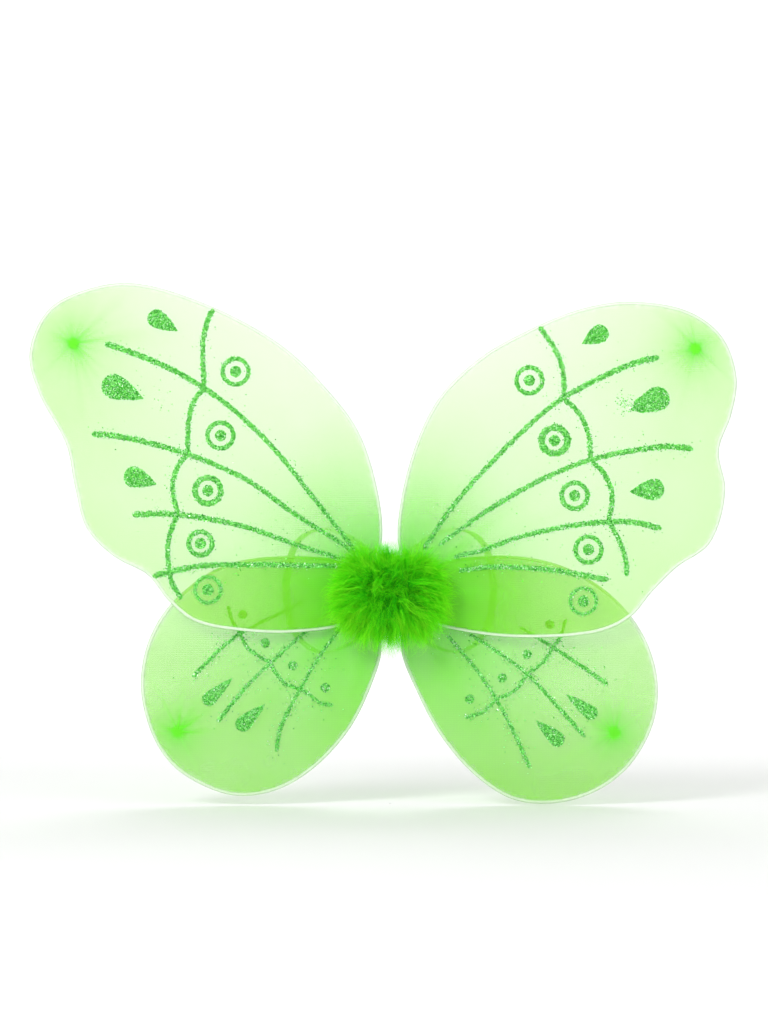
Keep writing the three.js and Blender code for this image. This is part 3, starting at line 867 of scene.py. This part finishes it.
def make_print(name, side, level, seed):
    """One wing's print: the binder, and the glitter flakes in and beside it."""
    spec, sheer = WINGS[name], Sheer(name, side, level)
    sheet = Print(seed, sheer)
    width = spec["vein_width"]
    for line in spec["veins"]:
        sheet.strip(line, [width * 1.25, width * 1.1, width, width * 0.95, width * 0.8])
    for line in spec["scallops"]:
        sheet.strip(line, [width * 1.05, width, width * 1.05])
    for x, z, radius, weight in spec["rings"]:
        sheet.ring(x, z, radius, weight)
    for x, z, radius in spec["dots"]:
        sheet.dot(x, z, radius)
    for head, tip, wide in spec["drops"]:
        sheet.drop(head, tip, wide)
    for near, count, spread in spec.get("spills", ()):
        sheet.stray([near], count, spread)
    every = np.vstack([smooth_line(line, 2) for line in spec["veins"] + spec["scallops"]])
    sheet.stray(every, 500, 3.0)
    sheet.stray(every, 260, 8.0)
    piece(name + "_print", to_row(side, level, np.vstack(sheet.points)), sheet.faces, BINDER, name)

    rng = sheet.rng
    at = np.vstack(sheet.flakes)
    at = at[inside(at, sheer.rim)]
    at = at[distance_to(at, sheer.rim[::2]) > 2.0]
    count = len(at)
    size = rng.uniform(0.28, 0.56, count)
    corner_count = 6
    a = circle_angles(corner_count)
    hexagon = np.column_stack([np.cos(a), 0 * a, np.sin(a)])
    tilt_x, tilt_z = rng.normal(0, 0.35, (2, count))
    spin = rng.uniform(0, 1.05, count)
    cs, sn = np.cos(spin)[:, None], np.sin(spin)[:, None]
    x = hexagon[:, 0] * cs - hexagon[:, 2] * sn
    z = hexagon[:, 0] * sn + hexagon[:, 2] * cs
    y = x * np.sin(tilt_x)[:, None] + z * np.sin(tilt_z)[:, None]
    depth = sheer.depths(at)[0] - PRINT_LIFT - 0.12 - rng.uniform(0, 0.16, count)
    middle = np.column_stack([at[:, 0], depth, at[:, 1]])[:, None]
    corners = middle + np.stack([x, y, z], -1) * size[:, None, None]
    points = to_row(side, level, corners.reshape(-1, 3))
    faces = np.arange(count * corner_count).reshape(count, corner_count)
    flakes = make_mesh(name + "_glitter", points, faces, FLAKES, smooth=False)
    # Each flake's shade: the darkest are partly painted shade, the brightest (0.86 and 1) painted glints, the
    # rest the glitter's own mix.
    dark = rng.uniform(size=count) < 0.45
    shade = np.where(dark, rng.uniform(0, 0.3, count), rng.uniform(0.4, 0.75, count))
    shade[rng.uniform(size=count) < 0.22] = 0.86
    shade[rng.uniform(size=count) < 0.06] = 1.0
    set_attribute(flakes, "shade", np.repeat(shade, corner_count))
    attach(flakes, name)


for index, wing in enumerate(WINGS):
    level_name, side_name = wing.split("_")
    where = (SIDES[side_name], LEVELS[level_name])
    make_wire(wing, *where)
    make_nylon(wing, *where)
    make_neck(wing, *where)
    make_knot(wing, *where)
    make_print(wing, *where, 100 + index)


# ---------------------------------------------------------------- feather pouf

POUF_WIDE, POUF_TALL, POUF_Z = 46, 43, -2  # half width, half height and middle
POUF_FRONT, POUF_BACK = -53, -4
CENTRE_HALF = 15  # the middle clump's half width


def ribbons(lines, width, rng):
    """Thin strips along many lines at once: lines are count x points x 3, width one for each point."""
    along = np.gradient(lines, axis=1)
    flat = np.cross(along, rng.normal(size=(len(lines), 1, 3)))
    flat /= np.maximum(np.linalg.norm(flat, axis=2, keepdims=True), 1e-6)
    pair = np.stack([lines - flat * width[..., None], lines + flat * width[..., None]], 2)
    return pair.reshape(len(lines), -1, 3)


def pouf_painted_light_and_shade(points):
    """Painted light and shade: brighter toward the rim, with painted shade darkening the hollows between the
    clumps.
    """
    radial = np.hypot(points[:, 0] / POUF_WIDE, (points[:, 2] - POUF_Z) / (POUF_TALL - 1))
    shade = 0.37 + 0.40 * np.clip(radial, 0, 1) ** 1.3
    # Painted shade: a dark patch at each hollow between the clumps.
    for x, z in ((-20, 3), (15, -4), (3, 9), (19, 8), (-4, -8)):
        shade -= 0.30 * np.exp(-((points[:, 0] - x) ** 2 + (points[:, 2] - z) ** 2) / 60)
    return shade


def down(roots, ways, lengths, rng, stations):
    """The short fluff: each plume's limp barbs stand round a bent shaft."""
    count = len(roots)
    bend = rng.normal(0, 0.22, (count, 3)) - np.array([0, 0, 0.12])
    s = np.linspace(0, 1, stations)
    shaft = roots[:, None] + lengths[:, None, None] * (
        ways[:, None] * s[None, :, None] + bend[:, None] * (s**2)[None, :, None])
    along = np.gradient(shaft, axis=1)
    along /= np.linalg.norm(along, axis=2, keepdims=True)
    across = np.cross(along, rng.normal(size=(count, 1, 3)))
    across /= np.linalg.norm(across, axis=2, keepdims=True)
    up = np.cross(along, across)
    u = np.linspace(0, 1, 4)
    lines, shades = [], []
    # Painted shade: the short fluff is set darker than the fronds, on top of its plume's painted light and
    # shade.
    own = pouf_painted_light_and_shade(roots) + rng.normal(0, 0.15, count) - 0.09
    for hand in (-1, 1):
        spread = rng.normal(0, 0.7, (count, stations))
        out = hand * across * np.cos(spread)[..., None] + up * np.sin(spread)[..., None]
        longest = 3 + 7 * np.sin(np.pi * np.clip(s * 0.75 + 0.2, 0, 1))
        length = longest[None] * rng.uniform(0.6, 1.35, (count, stations))
        lean = rng.uniform(0.6, 1.2, (count, stations))
        curl = rng.normal(0, 0.2, (count, 1, 3)) + rng.normal(0, 0.25, (count, stations, 3))
        line = shaft[:, :, None] + length[..., None, None] * (
            out[:, :, None] * (u**0.8 * 0.6)[None, None, :, None]
            + along[:, :, None] * (lean[..., None] * u**1.3)[..., None]
            + curl[:, :, None] * (u**2)[None, None, :, None])
        lines.append(line.reshape(-1, 4, 3))
        # Painted light: each barb grows brighter along the shaft and toward its own tip, over a random
        # variation of its own.
        tint_and_painted_shade = own[:, None, None] + rng.normal(0, 0.08, (count, stations, 1))
        shades.append((0.10 * s[None, :, None] + 0.22 * u[None, None] + tint_and_painted_shade).reshape(-1, 4))
    lines = np.concatenate(lines)
    return lines, np.concatenate(shades), np.tile(0.12 * (1 - 0.8 * u), (len(lines), 1))


def locks(roots, ways, lengths, rng, strands, painted_lift):
    """The long fronds: strands that leave together and part toward their tips."""
    count, points = len(roots), 8
    u = np.linspace(0, 1, points)
    bend = rng.normal(0, 0.28, (count, 1, 1, 3)) - np.array([0, 0, 0.16])
    wave = rng.normal(0, 0.05, (count, 1, 1, 3))
    fan = rng.normal(0, 1, (count, strands, 1, 3))
    reach = rng.uniform(0.55, 1.08, (count, strands, 1, 1)) * lengths[:, None, None, None]
    own_bend = rng.normal(0, 0.10, (count, strands, 1, 3))
    t = u[None, None, :, None]
    line = (roots[:, None, None] + fan * 0.5 + reach * (
        ways[:, None, None] * t + (bend + own_bend) * t**2
        + fan * 0.13 * t**1.2 + wave * np.sin(t * 7)))
    # Painted light and shade from the pouf's rim and hollows, plus a painted lift for each kind of frond; the
    # tips are painted brighter still.
    own = pouf_painted_light_and_shade(roots) + rng.normal(0, 0.18, count) + painted_lift
    shade = own[:, None, None] + rng.normal(0, 0.10, (count, strands, 1)) + 0.30 * u[None, None]
    width = 0.13 * (1 - 0.85 * u) * rng.uniform(0.6, 1.2, (count, strands, 1))
    return line.reshape(-1, points, 3), shade.reshape(-1, points), width.reshape(-1, points)


def hold_in(lines, rng):
    """Bends strands in near the pouf's outline, each at a reach of its own."""
    power = 2.6  # 2 is an oval, more is squarer
    x, z = np.abs(lines[..., 0] / POUF_WIDE), np.abs((lines[..., 2] - POUF_Z) / POUF_TALL)
    reach = (x**power + z**power) ** (1 / power)
    limit = rng.normal(0.90, 0.07, (len(lines), 1))
    held = limit + 0.26 * np.tanh((reach - limit) / 0.36)
    pull = np.where(reach > limit, held / np.maximum(reach, 0.1), 1)
    lines[..., 0] *= pull
    lines[..., 2] = (lines[..., 2] - POUF_Z) * pull + POUF_Z


def pouf_part(name, middle, half, plume_count, lock_count, seed, node, joint=None):
    """One of the pouf's three clumps: plumes and fronds spread outward from a low mound."""
    rng = np.random.default_rng(seed)

    def scatter(count, flow):
        angle = rng.uniform(0, 2 * math.pi, count)
        share = np.sqrt(rng.uniform(0, 1, count))
        x = middle + half * share * np.cos(angle)
        z = -1 + 26 * share * np.sin(angle) * np.clip(1 - np.abs(x / 48) ** 3, 0.3, 1)
        radial = np.hypot(x / 34, z / 30)
        y = -24 - 13 * np.sqrt(np.clip(1 - radial**2, 0, 1)) * rng.uniform(0.2, 1, count)
        ways = np.column_stack([x / 26, np.full(count, -flow), (z + 2) / 24])
        ways += rng.normal(0, (0.42, 0.22, 0.42), (count, 3)) - np.array([0, 0, 0.12])
        ways[:, 1] = np.minimum(ways[:, 1], -0.02)
        ways /= np.linalg.norm(ways, axis=1, keepdims=True)
        return np.column_stack([x, y, z]), ways, 0.75 + 0.35 * np.clip(radial, 0, 1)

    roots, ways, grow = scatter(plume_count, 0.34)
    groups = [down(roots, ways, rng.uniform(8, 15, plume_count) * grow, rng, 13)]
    roots, ways, grow = scatter(lock_count, 0.16)
    roots[:, 1] -= rng.uniform(2, 8, lock_count)
    # Painted light: the fronds get a small painted lift and the droopers a larger one.
    groups.append(locks(roots, ways, rng.uniform(16, 30, lock_count) * grow, rng, 30, 0.08))
    droopers = 40
    roots, ways, grow = scatter(droopers, 0.10)
    roots[:, 1] -= rng.uniform(6, 12, droopers)
    ways[:, 2] -= rng.uniform(0, 0.9, droopers)
    ways /= np.linalg.norm(ways, axis=1, keepdims=True)
    groups.append(locks(roots, ways, rng.uniform(20, 34, droopers), rng, 9, 0.26))
    all_points, all_faces, all_shades, start = [], [], [], 0
    for lines, shades, widths in groups:
        hold_in(lines, rng)
        if joint is None:
            # The middle clump stays clear of the wings when they fold
            lines[..., 0] = CENTRE_HALF * np.tanh(lines[..., 0] / CENTRE_HALF)
        strips = ribbons(lines, widths, rng)
        rows = lines.shape[1]
        base = start + np.arange(len(strips))[:, None, None] * rows * 2
        k = np.arange(rows - 1)[None, :, None] * 2
        all_faces.append((base + k + np.array([0, 1, 3, 2])[None, None]).reshape(-1, 4))
        all_points.append(strips.reshape(-1, 3))
        all_shades.append(np.repeat(shades, 2, axis=1).ravel())
        start += len(strips) * rows * 2
    points = np.vstack(all_points)
    points[:, 1] = np.clip(points[:, 1], POUF_FRONT, POUF_BACK)
    obj = make_mesh(name, points, np.vstack(all_faces), FEATHER)
    set_attribute(obj, "shade", np.clip(np.concatenate(all_shades), 0, 1))
    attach(obj, "centre")
    if joint:
        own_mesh(obj)
    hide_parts(node)


pouf_part("pouf_feathers_left", -19, 15, 540, 258, 21, "pouf_left", "left_fold")
pouf_part("pouf_feathers_right", 19, 14, 540, 258, 22, "pouf_right", "right_fold")
pouf_part("pouf_feathers_centre", 0, 12, 440, 280, 23, "pouf_centre")


# ---------------------------------------------------------------- centre, pad and straps

PAD_WIDTH, PAD_HEIGHT, PAD_CORNER = 44, 60, 14
STRAP_X = 8  # each strap's distance from the middle
STRAP_OUT = math.radians(40)  # how far each loop turns outward


def barrel(name, side):
    """A bundle of wire ends wound with tape in overlapping slanted turns."""
    around, rings, lead = 64, 150, 5.0
    a = circle_angles(around)
    z = np.linspace(-20, 20, rings)
    radius = np.interp(z, [-20, -17, -12, 12, 17, 20], [5.0, 6.4, 6.9, 6.9, 6.4, 5.0])
    turn = (z[:, None] / lead + a[None] / (2 * math.pi)) % 1
    r = radius[:, None] + 0.22 * np.minimum(turn * 6, 1) * (1 - 0.5 * turn) - 0.12
    x, y = side * BUNDLE_X + r * np.cos(a), BUNDLE_Y + r * np.sin(a)
    points = np.stack([x, y, z[:, None] + 0 * r], -1).reshape(-1, 3)
    piece(name + "_root_tape", points, tube_faces(rings, around), TAPE,
          name + "_root", name + "_root_bundle")


def rounded_rectangle(width, height, corner, steps):
    """The outline of a rectangle with rounded corners."""
    points = []
    for quarter, (sx, sz) in enumerate([(1, 1), (-1, 1), (-1, -1), (1, -1)]):
        for k in range(steps + 1):
            a = (quarter + k / steps) * math.pi / 2
            x = sx * (width / 2 - corner) + corner * math.cos(a)
            z = sz * (height / 2 - corner) + corner * math.sin(a)
            points.append((x, z))
    return np.array(points)


def make_pad():
    """A felt-covered pad with a rolled edge and a line of running stitch."""
    # Each ring's share of the outline, and its depth
    levels = [(0.62, -1.9), (0.86, -2.35), (0.95, -2.5), (0.985, -2.2), (1.0, -1.4),
              (0.992, -0.6), (0.965, -0.1), (0.93, 0.0), (0.6, 0.0)]
    outline = rounded_rectangle(PAD_WIDTH, PAD_HEIGHT, PAD_CORNER, 16)
    rings = []
    for share, y in levels:
        ring = outline * np.array([share, 1 - (1 - share) * PAD_WIDTH / PAD_HEIGHT])
        rings.append(np.column_stack([ring[:, 0], np.full(len(ring), y), ring[:, 1]]))
    obj = piece("felt_pad", np.vstack(rings), tube_faces(len(rings), len(outline)), FELT,
                "centre", "back_pad")
    line = rounded_rectangle(PAD_WIDTH - 7, PAD_HEIGHT - 7, PAD_CORNER - 3, 12)
    line = np.vstack([line, line[:1]])
    run = np.concatenate([[0], np.cumsum(np.linalg.norm(np.diff(line, axis=0), axis=1))])
    points, faces = [], []
    stitch, gap, steps, around = 2.6, 1.6, 7, 7
    for k in range(int(run[-1] / (stitch + gap))):
        at = np.linspace(k * (stitch + gap), k * (stitch + gap) + stitch, steps)
        x, z = np.interp(at, run, line[:, 0]), np.interp(at, run, line[:, 1])
        y = 0.12 + 0.28 * np.sin(np.linspace(0, math.pi, steps))
        faces += tube_faces(steps, around, len(points) * steps * around)
        points.append(small_tube(np.column_stack([x, y, z]), 0.22, around))
    piece("pad_stitching", np.vstack(points), faces, THREAD, "centre")


def small_tube(line, radius, around):
    """A tube along any line in space, as row coordinates."""
    t = tangents(line)
    ref = np.where(np.abs(t[:, 1:2]) > 0.9, [[1.0, 0, 0]], [[0, 1.0, 0]])
    n = np.cross(t, ref)
    n /= np.linalg.norm(n, axis=1, keepdims=True)
    b = np.cross(t, n)
    a = circle_angles(around)[None, :, None]
    return (line[:, None] + radius * (n[:, None] * np.cos(a) + b[:, None] * np.sin(a))).reshape(-1, 3)


# One strap's loop: how far it stands out from the pad, and its height
STRAP_LINE = [(0, 32.4), (16, 34), (42, 45), (76, 50), (108, 38), (122, 4),
              (112, -34), (80, -51), (42, -45), (16, -34), (0, -32.4)]


def ribbed_section(half_width, thinnest, rib_height, points):
    """A flat band's section with seven ribs on each face, as (thickness, width)."""
    v = np.linspace(-1, 1, points)
    rib = 0.5 + 0.5 * np.cos(v * 7 * math.pi)
    half = (thinnest + rib_height * rib) * np.sqrt(np.clip(1 - v**8, 0.02, 1))
    front = np.column_stack([half, v * half_width])
    back = np.column_stack([-half, v * half_width])[::-1]
    return np.vstack([front, back])


def sweep_band(line, section):
    """A section carried along a flat line: both coordinates in the line's plane, and the width."""
    n = side_normals(line)
    first = line[:, :1] + n[:, :1] * section[:, 0]
    second = line[:, 1:] + n[:, 1:] * section[:, 0]
    return first, second, section[:, 1] + 0 * first


def make_strap(name, side):
    """A loop of ribbed elastic that leaves the pad and turns outward."""
    line = smooth_line(STRAP_LINE, 1.6)
    section = ribbed_section(4, 0.34, 0.22, 43)
    u, z, w = sweep_band(line, section)
    turn = math.pi / 2 - side * STRAP_OUT
    c, s = math.cos(turn), math.sin(turn)
    points = np.stack([side * STRAP_X + u * c - w * s, -2 + u * s + w * c, z], -1).reshape(-1, 3)
    piece(name + "_elastic_loop", points, tube_faces(len(line), len(section)), ELASTIC,
          name + "_strap", name + "_strap")


def make_anchor(name, side, level):
    """The strap's folded end sewn to the pad, with a zigzag bar tack."""
    node = f"{name}_strap_anchor_{'top' if level > 0 else 'bottom'}"
    line = smooth_line([(-3.4, 18.2), (-3.4, 26), (-3.4, 30.0), (-2.6, 30.9), (-0.1, 30.9)], 0.5)
    section = ribbed_section(4.9, 0.36, 0.2, 37)
    y, z, width = sweep_band(line, section)
    points = np.stack([side * STRAP_X + width, y, level * z], -1).reshape(-1, 3)
    piece(node + "_tab", points, tube_faces(len(line), len(section)), ELASTIC, "centre", node)
    zigs = 28
    k = np.arange(zigs + 1)
    x, z = side * STRAP_X - 3.6 + 7.2 * k / zigs, level * (21.5 + 2.0 * (k % 2))
    points = small_tube(np.column_stack([x, np.full(len(k), -4.2), z]), 0.17, 6)
    piece(node + "_tack", points, tube_faces(len(k), 6), THREAD, "centre")


for strap_name, strap_side in SIDES.items():
    barrel(strap_name, strap_side)
    make_strap(strap_name, strap_side)
    make_anchor(strap_name, strap_side, 1)
    make_anchor(strap_name, strap_side, -1)
make_pad()
for node, covering in (("core_binding", TAPE), ("core_wrap_upper", TAPE), ("core_wrap_lower", TAPE),
                       ("front_disc", FELT)):
    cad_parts[node].data.materials.clear()
    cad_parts[node].data.materials.append(covering)


# ---------------------------------------------------------------- stage, light and camera

def backdrop_material():
    """White paper; behind the part it gives a little light of its own, as a lit studio wall does."""
    n = Nodes("backdrop", Roughness=0.9, Specular_IOR_Level=0.1)
    n.shader.inputs["Emission Color"].default_value = (1, 1, 1, 1)
    n.shader.inputs["Base Color"].default_value = (0.9, 0.9, 0.9, 1)
    split = n.add("ShaderNodeSeparateXYZ")
    n.link(n.coords(), split, "Vector")
    behind = n.add("ShaderNodeMapRange", From_Min=0.3, From_Max=3.5, To_Min=0.0, To_Max=0.34)
    n.link(split.outputs["Y"], behind, "Value")
    n.link(behind.outputs[0], n.shader, "Emission Strength")
    return n.material


def make_stage():
    """A round pale floor that curves up into a wall all round."""
    floor_z, flat, curve, height = -171.0, 3900.0, 1300.0, 5200.0
    profile = [(1.0, floor_z), (900.0, floor_z), (flat, floor_z)]
    for k in range(1, 13):
        a = k / 12 * math.pi / 2
        profile.append((flat + curve * math.sin(a), floor_z + curve * (1 - math.cos(a))))
    profile.append((flat + curve, height))
    around = 96
    a = circle_angles(around)
    points = np.vstack([np.column_stack([r * np.cos(a), r * np.sin(a), 0 * a + z]) for r, z in profile])
    faces = tube_faces(len(profile), around, capped=False)
    faces.append(tuple(range(around)))
    make_mesh("backdrop", points, faces, backdrop_material())


def area_light(name, where, size, power):
    """A square lamp aimed at the origin; metres and watts."""
    data = bpy.data.lights.new(name, "AREA")
    data.shape = "SQUARE"
    data.size = size
    data.energy = power
    obj = bpy.data.objects.new(name, data)
    obj.location = where
    obj.rotation_mode = "QUATERNION"
    obj.rotation_quaternion = (-Vector(where)).to_track_quat("-Z", "Y")
    bpy.context.scene.collection.objects.link(obj)


make_stage()
area_light("key", (-1.5, -2.2, 1.7), 1.0, 46)
area_light("fill", (1.9, -1.7, 0.7), 1.4, 9)
area_light("back", (0.3, 1.5, 1.6), 1.2, 12)

world = bpy.data.worlds.new("world")
world.use_nodes = True
world.node_tree.nodes["Background"].inputs["Color"].default_value = (1, 1, 1, 1)
world.node_tree.nodes["Background"].inputs["Strength"].default_value = 0.58
bpy.context.scene.world = world
bpy.context.scene.view_settings.view_transform = "Standard"

# The camera looks level along +Y; lengths in metres
CAMERA_AWAY = 2.6
FRAME_HEIGHT = 0.8192
SENSOR_MM = 36
camera_data = bpy.data.cameras.new("camera")
camera_data.sensor_width = SENSOR_MM
camera_data.lens = SENSOR_MM * CAMERA_AWAY / FRAME_HEIGHT
camera = bpy.data.objects.new("camera", camera_data)
camera.location = (-0.0048, -0.02 - CAMERA_AWAY, 0.064)
camera.rotation_euler = (math.pi / 2, 0, 0)
bpy.context.scene.collection.objects.link(camera)
bpy.context.scene.camera = camera

bpy.context.view_layer.update()
